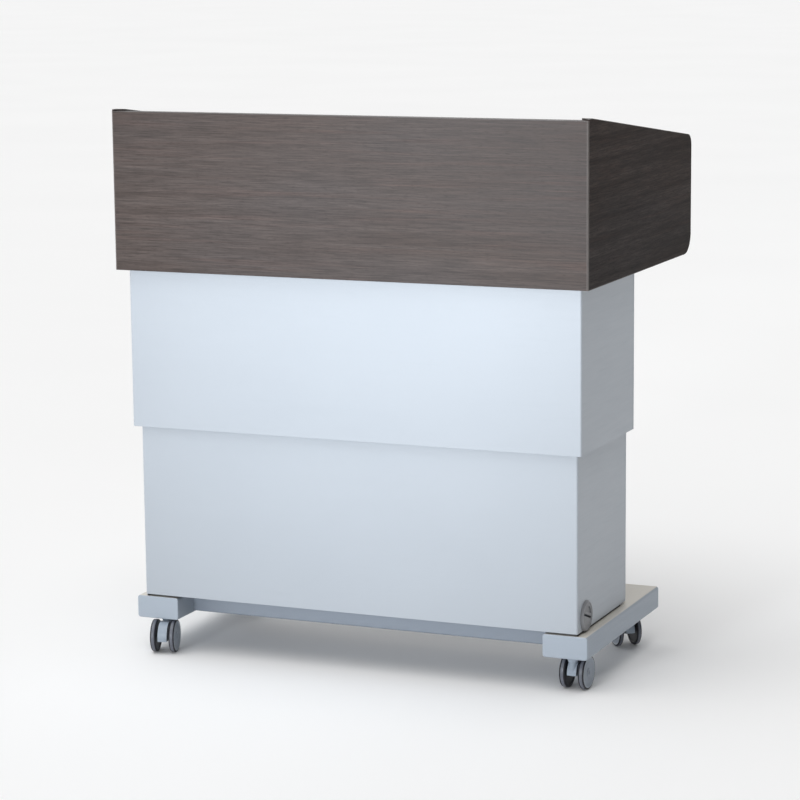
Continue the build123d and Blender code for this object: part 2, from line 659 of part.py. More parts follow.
# ---- lift beam and drives ----
def make_lift_beam():
    floor_z = BEAM_BOTTOM + BEAM_SHEET
    y0 = LEG_Y - BEAM_HALF_Y
    y1 = LEG_Y + BEAM_HALF_Y
    beam = block(-INNER_HALF, INNER_HALF, y0, y1, BEAM_BOTTOM, BEAM_TOP)
    beam -= block(
        -INNER_HALF + BEAM_SHEET, INNER_HALF - BEAM_SHEET,
        y0 + BEAM_SHEET, y1 - BEAM_SHEET, floor_z, BEAM_TOP + PAST,
    )
    gearboxes, motors = [], []
    motor_z = floor_z + MOTOR_R + MOTOR_RAISE
    for side in SIDES:
        x = side * LEG_X
        beam -= rod(x, LEG_Y, BEAM_BOTTOM - PAST, floor_z + PAST, SPINDLE_R + SPINDLE_HOLE_PLAY)
        box = block(
            side * GEARBOX_IN_X, side * GEARBOX_OUT_X,
            LEG_Y - GEARBOX_HALF_Y, LEG_Y + GEARBOX_HALF_Y, floor_z, floor_z + GEARBOX_HEIGHT,
        )
        box = fillet(box.edges().filter_by(Axis.Z), GEARBOX_CORNER_R)
        box -= rod(x, LEG_Y, floor_z - PAST, SPINDLE_TOP + SPINDLE_END_PLAY, SPINDLE_R + SPINDLE_PLAY)
        gearboxes.append(box)
        motor_end = GEARBOX_IN_X - MOTOR_LENGTH
        motor = rod_x(side * motor_end, side * GEARBOX_IN_X, LEG_Y, motor_z, MOTOR_R)
        boss_end = motor_end - MOTOR_BOSS_LENGTH
        motor += rod_x(side * boss_end, side * motor_end, LEG_Y, motor_z, MOTOR_BOSS_R)
        motors.append(motor)
    save("lift_beam", beam)
    save("gearboxes", *gearboxes)
    save("motors", *motors)
    control = block(
        -CONTROL_HALF_X, CONTROL_HALF_X, LEG_Y - CONTROL_HALF_Y, LEG_Y + CONTROL_HALF_Y,
        floor_z, floor_z + CONTROL_HEIGHT,
    )
    control = fillet(control.edges().filter_by(Axis.Z), CONTROL_CORNER_R)
    save("control_box", fillet(control.edges().group_by(Axis.Z)[-1], CONTROL_TOP_R))
    make_motor_leads(floor_z)


def make_motor_leads(floor_z):
    """A lead from the end of each motor to the control box, lying in the beam."""
    leads = []
    start_x = GEARBOX_IN_X - MOTOR_LENGTH - MOTOR_BOSS_LENGTH
    end_x = CONTROL_HALF_X
    run = (start_x - end_x) / 3
    z_motor = floor_z + MOTOR_R + MOTOR_RAISE
    z_box = floor_z + CONTROL_HEIGHT / 2
    for side in SIDES:
        points = [
            (side * start_x, LEG_Y, z_motor),
            (side * (start_x - run), LEG_Y, z_motor),
            (side * (start_x - 2 * run), LEG_Y + LEAD_SIDESTEP, z_box),
            (side * end_x, LEG_Y + LEAD_SIDESTEP, z_box),
        ]
        bend = LEAD_BEND_SHARE * run / math.tan(math.radians(LEAD_TURN / 2))
        path = FilletPolyline(*points, radius=bend)
        leads.append(sweep(Plane(path @ 0, z_dir=path % 0) * Circle(LEAD_R), path=path))
    save("motor_leads", *leads)


# ---- hand switch under the desk's rear edge ----
def make_hand_switch():
    plane = desk_plane()
    back_v = DESK_LENGTH - SWITCH_SETBACK
    mid_w = -BOARD - SWITCH_HEIGHT / 2
    place = plane.location * Pos(SWITCH_X, back_v - SWITCH_DEPTH / 2, mid_w)
    housing = Box(SWITCH_WIDTH, SWITCH_DEPTH, SWITCH_HEIGHT)
    housing = fillet(housing.edges().filter_by(Axis.Y).group_by(Axis.Z)[0], SWITCH_ROUND)
    well = BUTTON_SIZE + 2 * BUTTON_PLAY
    face_y = SWITCH_DEPTH / 2
    well_depth = BUTTON_STEM + BUTTON_STROKE + BUTTON_END_PLAY
    buttons = {}
    for name, side in (("up_button", 1), ("down_button", -1)):
        x = side * BUTTON_PITCH / 2
        housing -= block(
            x - well / 2, x + well / 2, face_y - well_depth, face_y + PAST, -well / 2, well / 2,
        )
        button = block(
            x - BUTTON_SIZE / 2, x + BUTTON_SIZE / 2,
            face_y - BUTTON_STEM, face_y + BUTTON_PROUD, -BUTTON_SIZE / 2, BUTTON_SIZE / 2,
        )
        button = fillet(button.edges().group_by(Axis.Y)[-1], BUTTON_ROUND)
        buttons[name] = place * button
    save("switch_housing", place * housing)
    for name, button in buttons.items():
        save(name, button)


# ---- casters ----
def caster_places():
    """Swivel axis and trail heading of each caster: x, y, heading."""
    return [(side * FOOT_X + CASTER_SHIFT, y, heading) for side, y, heading in CASTERS.values()]


def caster_body():
    """Central body of a caster: a neck round the swivel and a fender round the axle."""
    half = CASTER_BODY_WIDTH / 2
    below_body = Pos(TRAIL, CASTER_BODY_BOTTOM - WHEEL_R) * Rectangle(4 * WHEEL_R, 2 * WHEEL_R)
    below_neck = Pos(0, NECK_BOTTOM - WHEEL_R) * Rectangle(TRAIL, 2 * WHEEL_R)
    outline = Pos(TRAIL, WHEEL_R) * Circle(FENDER_R) - below_body - below_neck
    plane = Plane(origin=(0, half, 0), x_dir=(1, 0, 0), z_dir=(0, -1, 0))
    body = extrude(plane * outline, 2 * half)
    tip = rod(0, 0, NECK_BOTTOM, NECK_CONE_BOTTOM, NECK_LOW_R)
    body += fillet(tip.edges().group_by(Axis.Z)[0], NECK_LOW_R / 2)
    cone_height = NECK_CONE_TOP - NECK_CONE_BOTTOM
    body += Pos(0, 0, NECK_CONE_BOTTOM + cone_height / 2) * Cone(NECK_LOW_R, NECK_R, cone_height)
    body += rod(0, 0, NECK_CONE_TOP, CASTER_BODY_TOP, NECK_R)
    body -= rod(0, 0, KINGPIN_BOTTOM - KINGPIN_END_PLAY, CASTER_BODY_TOP, KINGPIN_R + KINGPIN_PLAY)
    return body - rod_y(TRAIL, -half, half, WHEEL_R, AXLE_R)


def make_caster(name, x, y, heading):
    """One caster. Its local +X is the trail's direction, and its wheels turn about local Y."""
    place = Pos(x, y, 0) * Rot(0, 0, heading)
    save("caster_" + name + "_housing", place * caster_body())
    axle_half = WHEEL_OFFSET + WHEEL_WIDTH / 2 - AXLE_INSET
    save("caster_" + name + "_axle", place * rod_y(TRAIL, -axle_half, axle_half, WHEEL_R, AXLE_R))
    for label, side in (("wheel_a", -1), ("wheel_b", 1)):
        y0 = side * (WHEEL_OFFSET - WHEEL_WIDTH / 2)
        y1 = side * (WHEEL_OFFSET + WHEEL_WIDTH / 2)
        rim_r = WHEEL_R - TYRE_THICK
        tyre = rod_y(TRAIL, y0, y1, WHEEL_R, WHEEL_R)
        tyre = fillet(tyre.edges(), WHEEL_ROUND) - rod_y(TRAIL, y0, y1, WHEEL_R, rim_r)
        hub = rod_y(TRAIL, y0, y1 - side * HUB_RECESS, WHEEL_R, rim_r)
        hub -= rod_y(TRAIL, y0, side * axle_half, WHEEL_R, AXLE_R + KINGPIN_PLAY)
        save("caster_" + name + "_" + label, place * tyre, place * hub)


def make_casters():
    sockets, kingpins = [], []
    for name, (x, y, heading) in zip(CASTERS, caster_places()):
        socket = rod(x, y, FOOT_BOTTOM - SOCKET_FLANGE, FOOT_BOTTOM, SOCKET_R)
        socket += rod(x, y, FOOT_BOTTOM, SOCKET_SLEEVE_TOP, SOCKET_SLEEVE_R)
        socket -= rod(x, y, FOOT_BOTTOM - SOCKET_FLANGE, SOCKET_SLEEVE_TOP, KINGPIN_R)
        sockets.append(socket)
        kingpins.append(rod(x, y, KINGPIN_BOTTOM, SOCKET_SLEEVE_TOP, KINGPIN_R))
        make_caster(name, x, y, heading)
    save("caster_sockets", *sockets)
    save("caster_kingpins", *kingpins)


os.makedirs("parts", exist_ok=True)
make_head_boards()
make_desk()
make_upper_cover()
make_lower_cover()
make_grommet()
make_mains_inlet()
make_feet()
make_crossbar()
make_legs()
make_lift_beam()
make_hand_switch()
make_casters()
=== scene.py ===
import json
import math

import bmesh
import bpy
from mathutils import Matrix, Vector


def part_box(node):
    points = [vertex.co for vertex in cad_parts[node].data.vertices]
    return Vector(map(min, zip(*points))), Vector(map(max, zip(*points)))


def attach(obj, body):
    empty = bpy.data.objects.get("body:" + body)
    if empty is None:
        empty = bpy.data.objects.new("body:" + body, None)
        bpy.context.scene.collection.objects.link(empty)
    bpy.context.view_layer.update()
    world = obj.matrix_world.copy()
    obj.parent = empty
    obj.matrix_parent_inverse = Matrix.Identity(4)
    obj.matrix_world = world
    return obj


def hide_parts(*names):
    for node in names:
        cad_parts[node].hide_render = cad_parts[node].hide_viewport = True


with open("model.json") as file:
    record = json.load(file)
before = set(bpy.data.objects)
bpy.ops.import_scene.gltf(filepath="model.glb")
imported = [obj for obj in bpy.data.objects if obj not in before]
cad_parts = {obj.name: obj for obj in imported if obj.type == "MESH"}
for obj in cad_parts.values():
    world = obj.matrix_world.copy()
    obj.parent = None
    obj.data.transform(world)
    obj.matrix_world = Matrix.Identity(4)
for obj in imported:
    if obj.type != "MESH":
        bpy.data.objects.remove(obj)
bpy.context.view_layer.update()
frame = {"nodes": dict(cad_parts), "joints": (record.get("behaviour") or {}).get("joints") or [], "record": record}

# Looks of the height-adjustable lectern, in metres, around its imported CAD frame.
# +X is the audience's right, -Y faces the audience, +Z is up.

MM = 0.001
NODES = frame["nodes"]
SLOT_OF = {part["node"]: part["material_slot"] for part in frame["record"]["subparts"]}
JOINTS = {joint["name"]: joint for joint in frame["joints"]}
CORNERS = ("front_left", "front_right", "rear_left", "rear_right")

# ---- camera: the photograph's viewing angle ----
CAMERA_AZIMUTH = math.radians(23.08)
CAMERA_ELEVATION = math.radians(9.88)
CAMERA_ROLL = math.radians(-0.56)
CAMERA_DISTANCE = 5.076
CAMERA_LENS = 125.0
CAMERA_SENSOR = 36.0
CAMERA_REACH = 100.0
CAMERA_TARGET = Vector((0.0088, -0.065, 0.4638))


def make_camera():
    """A long lens looking slightly down at the front and the right side."""
    flat = math.cos(CAMERA_ELEVATION)
    back = Vector((
        math.sin(CAMERA_AZIMUTH) * flat,
        -math.cos(CAMERA_AZIMUTH) * flat,
        math.sin(CAMERA_ELEVATION),
    ))
    right = Vector((math.cos(CAMERA_AZIMUTH), math.sin(CAMERA_AZIMUTH), 0.0))
    up = back.cross(right)
    rolled_right = right * math.cos(CAMERA_ROLL) + up * math.sin(CAMERA_ROLL)
    rolled_up = up * math.cos(CAMERA_ROLL) - right * math.sin(CAMERA_ROLL)
    turn = Matrix((rolled_right, rolled_up, back)).transposed().to_4x4()
    data = bpy.data.cameras.new("camera")
    data.lens = CAMERA_LENS
    data.sensor_width = CAMERA_SENSOR
    data.clip_end = CAMERA_REACH
    camera = bpy.data.objects.new("camera", data)
    camera.matrix_world = Matrix.Translation(CAMERA_TARGET + back * CAMERA_DISTANCE) @ turn
    bpy.context.scene.collection.objects.link(camera)
    bpy.context.scene.camera = camera


# ---- node materials ----
# The Mix node's colour sockets share their names with its number sockets, so they go by place.
MIX_FIRST, MIX_SECOND, MIX_RESULT = 6, 7, 2


class Shader:
    """A node material being built: a Principled shader and whatever feeds it."""

    def __init__(self, name, roughness=0.5, metallic=0.0):
        self.material = bpy.data.materials.new(name)
        self.material.use_nodes = True
        self.tree = self.material.node_tree
        self.surface = self.tree.nodes["Principled BSDF"]
        self.surface.inputs["Roughness"].default_value = roughness
        self.surface.inputs["Metallic"].default_value = metallic
        self.position = self.add("ShaderNodeTexCoord").outputs["Object"]

    def add(self, kind, **settings):
        """A new node with the given properties."""
        node = self.tree.nodes.new(kind)
        for key, value in settings.items():
            setattr(node, key, value)
        return node

    def join(self, source, target):
        """Links an output socket to an input socket."""
        self.tree.links.new(source, target)

    def stretched(self, scale, offset):
        """Object position with a scale and an offset along each axis."""
        mapping = self.add("ShaderNodeMapping")
        mapping.inputs["Scale"].default_value = scale
        mapping.inputs["Location"].default_value = offset
        self.join(self.position, mapping.inputs["Vector"])
        return mapping.outputs["Vector"]

    def noise(self, scale, detail=3.0, roughness=0.5, offset=(0.0, 0.0, 0.0), distortion=0.0):
        """Noise whose features are 1/scale metres long on each axis."""
        node = self.add("ShaderNodeTexNoise")
        node.inputs["Scale"].default_value = 1.0
        node.inputs["Detail"].default_value = detail
        node.inputs["Roughness"].default_value = roughness
        node.inputs["Distortion"].default_value = distortion
        self.join(self.stretched(scale, offset), node.inputs["Vector"])
        return node.outputs["Fac"]

    def ramp(self, value, stops):
        """Colour ramp from (position, colour) stops."""
        node = self.add("ShaderNodeValToRGB")
        elements = node.color_ramp.elements
        while len(elements) < len(stops):
            elements.new(0.5)
        for element, (place, colour) in zip(elements, stops):
            element.position = place
            element.color = (*colour, 1.0)
        self.join(value, node.inputs["Fac"])
        return node.outputs["Color"]

    def remap(self, value, low, high, to_low, to_high):
        """Linear remap of a value, clamped."""
        node = self.add("ShaderNodeMapRange")
        limits = {"From Min": low, "From Max": high, "To Min": to_low, "To Max": to_high}
        for name, number in limits.items():
            node.inputs[name].default_value = number
        self.join(value, node.inputs["Value"])
        return node.outputs["Result"]

    def mix(self, factor, first, second, blend="MIX"):
        """Mix two colours; factor, first and second are sockets or constants."""
        node = self.add("ShaderNodeMix", data_type="RGBA", blend_type=blend)
        sockets = (node.inputs["Factor"], node.inputs[MIX_FIRST], node.inputs[MIX_SECOND])
        for socket, value in zip(sockets, (factor, first, second)):
            if isinstance(value, bpy.types.NodeSocket):
                self.join(value, socket)
            elif isinstance(value, tuple):
                socket.default_value = (*value, 1.0)
            else:
                socket.default_value = value
        return node.outputs[MIX_RESULT]

    def math(self, operation, first, second=0.0):
        """One step of arithmetic; first and second are sockets or numbers."""
        node = self.add("ShaderNodeMath", operation=operation)
        for socket, value in zip(node.inputs, (first, second)):
            if isinstance(value, bpy.types.NodeSocket):
                self.join(value, socket)
            else:
                socket.default_value = value
        return node.outputs["Value"]

    def bump(self, height, distance, strength):
        """A normal from a height of 0 to 1 that stands for a distance in metres."""
        node = self.add("ShaderNodeBump")
        node.inputs["Strength"].default_value = strength
        node.inputs["Distance"].default_value = distance
        self.join(height, node.inputs["Height"])
        return node.outputs["Normal"]

    def finish(self, colour, roughness=None, normal=None):
        """Feeds the surface and gives the material."""
        self.join(colour, self.surface.inputs["Base Color"])
        if roughness is not None:
            self.join(roughness, self.surface.inputs["Roughness"])
        if normal is not None:
            self.join(normal, self.surface.inputs["Normal"])
        return self.material


# Places of the painted highlight down the head's front corners, and how sharply it starts.
CORNER_HIGHLIGHT_X = 446.9 * MM
CORNER_HIGHLIGHT_Y = -286.9 * MM
CORNER_HIGHLIGHT_BLEND = 0.1 * MM

WOOD_SHADES = (
    (0.30, (0.062, 0.046, 0.041)),
    (0.50, (0.077, 0.059, 0.053)),
    (0.70, (0.093, 0.074, 0.068)),
)
WOOD_GREY = (0.074, 0.064, 0.063)
WOOD_RED = (0.096, 0.066, 0.059)


def grain_scale(axis, along, across):
    """Noise scale with long features along one axis and short ones across it."""
    return tuple(along if i == axis else across for i in range(3))


def toned(colour, tone):
    """A colour made darker or lighter."""
    return tuple(channel * tone for channel in colour)


def wood_laminate(name, axis, tone, specular, seed=0.0, contrast=1.0):
    """Dark grey-brown wood print with fine grain along an axis and pores pressed into it.

    The broad bands and the fine lines of the grain darken the print, contrast times as strongly.
    """
    shader = Shader(name)
    shader.surface.inputs["Specular IOR Level"].default_value = specular
    offset = (seed, seed * 1.7, seed * 0.6)
    cloud = shader.noise(grain_scale(axis, 1.4, 5.0), 2.0, 0.5, offset)
    band = shader.noise(grain_scale(axis, 1.3, 60.0), 4.0, 0.6, offset, 0.5)
    streak = shader.noise(grain_scale(axis, 17.0, 480.0), 3.0, 0.6, offset, 0.3)
    pore = shader.noise(grain_scale(axis, 80.0, 1100.0), 1.0, 0.5, offset)
    body = shader.ramp(band, [(place, toned(shade, tone)) for place, shade in WOOD_SHADES])
    tinted = shader.mix(shader.remap(cloud, 0.40, 0.62, 0.0, 0.75), body, toned(WOOD_GREY, tone))
    reddish = shader.noise(grain_scale(axis, 3.2, 120.0), 2.0, 0.5, (seed + 5.0, 3.0, 8.0))
    tinted = shader.mix(shader.remap(reddish, 0.54, 0.72, 0.0, 0.5), tinted, toned(WOOD_RED, tone))
    lines = shader.remap(streak, 0.32, 0.68, 1.0 - 0.34 * contrast, 1.0 + 0.32 * contrast)
    broad = shader.remap(band, 0.32, 0.68, 1.45 - 0.45 * contrast, 0.55 + 0.45 * contrast)
    lined = shader.mix(1.0, tinted, shader.math("MULTIPLY", lines, broad), "MULTIPLY")
    pores = shader.remap(pore, 0.30, 0.44, 1.0 - 0.34 * contrast, 1.02)
    colour = shader.mix(0.8, lined, pores, "MULTIPLY")
    height = shader.math("ADD", shader.math("MULTIPLY", streak, 0.4), pores)
    roughness = shader.remap(streak, 0.3, 0.7, 0.42, 0.56)
    return shader.finish(colour, roughness, shader.bump(height, 0.00009, 0.8))


def wood_edge(name):
    """Edge banding as dark as the boards, with a painted highlight down each front corner."""
    shader = Shader(name)
    streak = shader.noise((60.0, 60.0, 60.0), 3.0, 0.6)
    fine = shader.noise((420.0, 420.0, 420.0), 2.0, 0.5)
    dark = shader.ramp(streak, [(0.3, (0.052, 0.043, 0.041)), (0.7, (0.076, 0.063, 0.060))])
    # The lighter shade is a painted highlight where the rounded front corners catch the light.
    light = shader.ramp(streak, [(0.3, (0.098, 0.086, 0.081)), (0.7, (0.122, 0.108, 0.102))])
    split = shader.add("ShaderNodeSeparateXYZ")
    shader.join(shader.position, split.inputs["Vector"])
    from_middle = shader.math("ABSOLUTE", split.outputs["X"])
    outer = shader.remap(from_middle, CORNER_HIGHLIGHT_X, CORNER_HIGHLIGHT_X + CORNER_HIGHLIGHT_BLEND, 0.0, 1.0)
    ahead = shader.remap(split.outputs["Y"], CORNER_HIGHLIGHT_Y - CORNER_HIGHLIGHT_BLEND, CORNER_HIGHLIGHT_Y, 1.0, 0.0)
    colour = shader.mix(shader.math("MULTIPLY", outer, ahead), dark, light)
    spread = shader.remap(fine, 0.3, 0.7, 0.34, 0.46)
    return shader.finish(colour, spread, shader.bump(fine, 0.00004, 0.5))


# Pale warm colour of flat tops: dust and painted light from above.
TOP_LIGHT_DUST_COLOUR = (0.76, 0.71, 0.62)


def powder_coat(name, light, dark, roughness, seed, lightening=0.0):
    """Satin silver powder coat: orange peel, a faint fleck, a few rubs, and flat tops made paler and warmer with
    dust and painted top light.
    """
    shader = Shader(name)
    offset = (seed, seed, seed)
    cloud = shader.noise((2.2, 2.2, 3.0), 2.0, 0.5, offset)
    fleck = shader.noise((2600.0, 2600.0, 2600.0), 1.0, 0.5, offset)
    peel = shader.noise((520.0, 520.0, 520.0), 2.0, 0.5, offset)
    rub = shader.noise((9.0, 9.0, 160.0), 4.0, 0.65, offset, 0.6)
    base = shader.ramp(cloud, [(0.3, dark), (0.7, light)])
    flecked = shader.mix(0.35, base, shader.remap(fleck, 0.3, 0.7, 0.86, 1.1), "MULTIPLY")
    rubbed = shader.remap(rub, 0.60, 0.78, 0.0, 0.10)
    colour = shader.mix(rubbed, flecked, toned(dark, 0.8))
    if lightening:
        # Flat tops turn paler and warmer: dust and painted light from above.
        split = shader.add("ShaderNodeSeparateXYZ")
        shader.join(shader.add("ShaderNodeTexCoord").outputs["Normal"], split.inputs["Vector"])
        lit_dusty_top = shader.remap(split.outputs["Z"], 0.80, 0.97, 0.0, lightening)
        colour = shader.mix(lit_dusty_top, colour, TOP_LIGHT_DUST_COLOUR)
    spread = shader.remap(rub, 0.35, 0.75, roughness - 0.05, roughness + 0.08)
    shader.surface.inputs["Metallic"].default_value = 0.12
    return shader.finish(colour, spread, shader.bump(peel, 0.00005, 0.35))


def zinc_steel(name):
    """Zinc-plated steel with fine brushing and cloudy passivation."""
    shader = Shader(name, metallic=1.0)
    cloud = shader.noise((35.0, 35.0, 35.0), 3.0, 0.6)
    brush = shader.noise((40.0, 900.0, 900.0), 2.0, 0.5)
    colour = shader.ramp(cloud, [(0.3, (0.47, 0.48, 0.50)), (0.7, (0.64, 0.65, 0.66))])
    spread = shader.remap(brush, 0.3, 0.7, 0.28, 0.46)
    return shader.finish(colour, spread, shader.bump(brush, 0.00003, 0.4))


def cast_aluminium(name):
    """Die-cast aluminium, slightly pitted."""
    shader = Shader(name, metallic=0.9)
    pit = shader.noise((260.0, 260.0, 260.0), 3.0, 0.6)
    colour = shader.ramp(pit, [(0.35, (0.48, 0.49, 0.50)), (0.65, (0.60, 0.61, 0.62))])
    spread = shader.remap(pit, 0.3, 0.7, 0.42, 0.6)
    return shader.finish(colour, spread, shader.bump(pit, 0.0001, 0.5))


def moulded_plastic(name, light, dark, roughness):
    """Moulded plastic with a spark-eroded texture and slight shade changes."""
    shader = Shader(name)
    cloud = shader.noise((30.0, 30.0, 30.0), 2.0, 0.5)
    grain = shader.noise((900.0, 900.0, 900.0), 2.0, 0.6)
    colour = shader.ramp(cloud, [(0.3, dark), (0.7, light)])
    spread = shader.remap(grain, 0.3, 0.7, roughness - 0.05, roughness + 0.08)
    return shader.finish(colour, spread, shader.bump(grain, 0.00004, 0.5))


def tyre_rubber(name):
    """Grey polyurethane tread, a little scuffed, and duller where it is dusty."""
    shader = Shader(name)
    lightening = shader.noise((90.0, 90.0, 90.0), 4.0, 0.65)
    grain = shader.noise((1100.0, 1100.0, 1100.0), 2.0, 0.5)
    colour = shader.ramp(lightening, [(0.40, (0.120, 0.130, 0.160)), (0.75, (0.175, 0.185, 0.215))])
    spread = shader.remap(lightening, 0.4, 0.8, 0.32, 0.55)
    return shader.finish(colour, spread, shader.bump(grain, 0.00004, 0.5))


# Light shade, dark shade, roughness, seed, and how far flat tops are made paler: dust and painted top light.
PAINTS = {
    "cover_paint": ((0.432, 0.472, 0.520), (0.414, 0.454, 0.502), 0.42, 0.0),
    "frame_paint": ((0.385, 0.438, 0.503), (0.369, 0.421, 0.486), 0.44, 4.0, 0.8),
    # The crossbar's paint is a darker copy of the frame paint: painted shade for the shadow it sits in between the
    # feet.
    "crossbar_painted_shade": ((0.295, 0.338, 0.400), (0.280, 0.322, 0.384), 0.44, 9.0),
}
# Light shade, dark shade and roughness.
PLASTICS = {
    "white_nylon": ((0.80, 0.80, 0.77), (0.74, 0.74, 0.71), 0.45),
    "grey_nylon": ((0.33, 0.385, 0.45), (0.29, 0.345, 0.41), 0.42),
    "grey_plastic": ((0.25, 0.255, 0.27), (0.21, 0.215, 0.23), 0.45),
    # black_steel is near black: painted shade in the gap between the lower cover and the feet, on the brackets
    # behind it.
    "black_steel": ((0.012, 0.012, 0.013), (0.009, 0.009, 0.010), 0.6),
    "black_plastic": ((0.030, 0.030, 0.034), (0.020, 0.020, 0.023), 0.45),
    "cable_rubber": ((0.022, 0.022, 0.024), (0.014, 0.014, 0.016), 0.5),
    "wheel_core": ((0.012, 0.013, 0.021), (0.008, 0.009, 0.014), 0.42),
    "wheel_disc": ((0.32, 0.36, 0.42), (0.28, 0.32, 0.38), 0.40),
    # The rim ring is the disc's grey nylon made lighter: a painted highlight on its raised edge.
    "wheel_rim_highlight": ((0.40, 0.44, 0.49), (0.36, 0.40, 0.45), 0.36),
}


def make_materials():
    """Every material by its name; a record slot's material has the slot's name as its key."""
    materials = {
        "wood_laminate": wood_laminate("wood_across", 0, 0.86, 0.25),
        # The side boards' print is darker and almost without gloss: painted shade for their faces turned away from
        # the light.
        "wood_along_painted_shade": wood_laminate("wood_along_painted_shade", 1, 0.57, 0.02, 3.0, 1.6),
        "wood_desk": wood_laminate("wood_desk", 0, 1.0, 0.25, 7.0),
        "wood_edge": wood_edge("wood_edge"),
        "zinc_steel": zinc_steel("zinc_steel"),
        "cast_aluminium": cast_aluminium("cast_aluminium"),
        "wheel_rubber": tyre_rubber("tyre_rubber"),
    }
    materials.update({name: powder_coat(name, *look) for name, look in PAINTS.items()})
    materials.update({name: moulded_plastic(name, *look) for name, look in PLASTICS.items()})
    return materials


# ---- carried-over CAD nodes ----
def soften(piece, width, sharp_from, segments=2):
    """Rounds a piece's sharp edges a little, as folded or sanded edges are."""
    bevel = piece.modifiers.new("soft_edges", "BEVEL")
    bevel.width = width
    bevel.segments = segments
    bevel.limit_method = "ANGLE"
    bevel.angle_limit = sharp_from
    bevel.harden_normals = True


# How far each CAD node's edges are rounded, in millimetres.
EDGE_WIDTHS = {
    "front_board": 0.3, "side_board_left": 0.3, "side_board_right": 0.3, "edge_bands": 0.8,
    "desk_board": 0.5, "book_stop": 0.6, "partition_board": 0.4, "shelf_board": 0.8,
    "upper_front_shell": 0.4, "upper_rear_panel": 0.4, "lower_front_shell": 0.4, "lower_rear_panel": 0.4,
    "lift_beam": 0.5, "crossbar": 0.5, "leg_base_plates": 0.5, "lower_cover_brackets": 0.4,
    "control_box": 0.5, "mains_inlet": 0.4, "switch_housing": 0.5, "caster_sockets": 0.4,
    "grommet_cap": 0.3,
}
HOUSING_EDGE = 1.2 * MM
SHARP_EDGE = math.radians(35)


# Nodes whose look differs from their slot's: the grain's direction, and painted shade on the side boards and the
# crossbar.
SPECIAL_LOOKS = {
    "side_board_left": "wood_along_painted_shade", "side_board_right": "wood_along_painted_shade",
    "desk_board": "wood_desk", "shelf_board": "wood_desk",
    "crossbar": "crossbar_painted_shade",
}


def dress_cad_nodes(materials):
    """Gives each CAD node its slot's material, the grain along its board, and soft edges."""
    for node, piece in NODES.items():
        piece.data.materials.clear()
        piece.data.materials.append(materials[SPECIAL_LOOKS.get(node, SLOT_OF[node])])
    for node, width in EDGE_WIDTHS.items():
        soften(NODES[node], width * MM, SHARP_EDGE)
    for corner in CORNERS:
        soften(NODES["caster_" + corner + "_housing"], HOUSING_EDGE, SHARP_EDGE, 3)


# ---- caster wheels ----
WHEEL_SEGMENTS = 80
WHEEL_EDGE = 0.25 * MM
WHEEL_SHARP_EDGE = math.radians(30)


def lathe(name, profile, place, material):
    """A closed ring turned about local Z from a (radius, height) outline, then placed."""
    mesh = bmesh.new()
    rings = []
    for step in range(WHEEL_SEGMENTS):
        angle = 2 * math.pi * step / WHEEL_SEGMENTS
        turn = (math.cos(angle), math.sin(angle))
        rings.append([mesh.verts.new((r * turn[0], r * turn[1], h)) for r, h in profile])
    count = len(profile)
    for step in range(WHEEL_SEGMENTS):
        here, following = rings[step], rings[(step + 1) % WHEEL_SEGMENTS]
        for i in range(count):
            j = (i + 1) % count
            mesh.faces.new((here[i], following[i], following[j], here[j]))
    bmesh.ops.recalc_face_normals(mesh, faces=mesh.faces)
    data = bpy.data.meshes.new(name)
    mesh.to_mesh(data)
    mesh.free()
    for face in data.polygons:
        face.use_smooth = True
    data.materials.append(material)
    piece = bpy.data.objects.new(name, data)
    data.transform(place)
    bpy.context.scene.collection.objects.link(piece)
    soften(piece, WHEEL_EDGE, WHEEL_SHARP_EDGE)
    return piece


def arc(centre, radius, start, end, steps):
    """Points of an arc in (radius, height) space, angles in degrees."""
    points = []
    for step in range(steps + 1):
        angle = math.radians(start + (end - start) * step / steps)
        points.append((centre[0] + radius * math.cos(angle), centre[1] + radius * math.sin(angle)))
    return points


def wheel_frame(corner, wheel):
    """Placement, radius and half width of a wheel, local Z pointing away from the caster's body."""
    node = "caster_%s_%s" % (corner, wheel)
    joint = JOINTS[node + "_roll"]
    low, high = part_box(node)
    centre = (low + high) / 2
    size = high - low
    radius = size.z / 2
    outward = (centre - Vector(joint["pos_m"])).normalized()
    along, across = (0, 1) if abs(outward.x) > abs(outward.y) else (1, 0)
    width = (size[along] - 2 * radius * abs(outward[across])) / abs(outward[along])
    up = Vector((0.0, 0.0, 1.0))
    turn = Matrix((up, outward.cross(up), outward)).transposed().to_4x4()
    return Matrix.Translation(centre) @ turn, radius, width / 2


# Sizes of a wheel's parts; the outlines run in (radius, height), the outer face upwards.
TREAD_HALF = 2.8 * MM
TREAD_DEPTH = 2.0 * MM
TREAD_CROWN = 0.25 * MM
TREAD_FLAT = 0.92
TREAD_EASE = 0.7 * MM
TREAD_STEPS = 4
SHOULDER_ROUND = 1.9 * MM
SHOULDER_DROP = 0.25 * MM
SHOULDER_STEPS = 7
AXLE_HOLE_R = 3.2 * MM
DISC_INSET = 2.4 * MM
DISC_SEAT = 3.4 * MM
DISC_BACK = 3.3 * MM
RIM_WIDTH = 3.0 * MM
RIM_RISE = 0.15 * MM
INNER_DISH = 1.2 * MM
FIT = 0.2 * MM
RIM_GAP = 0.1 * MM


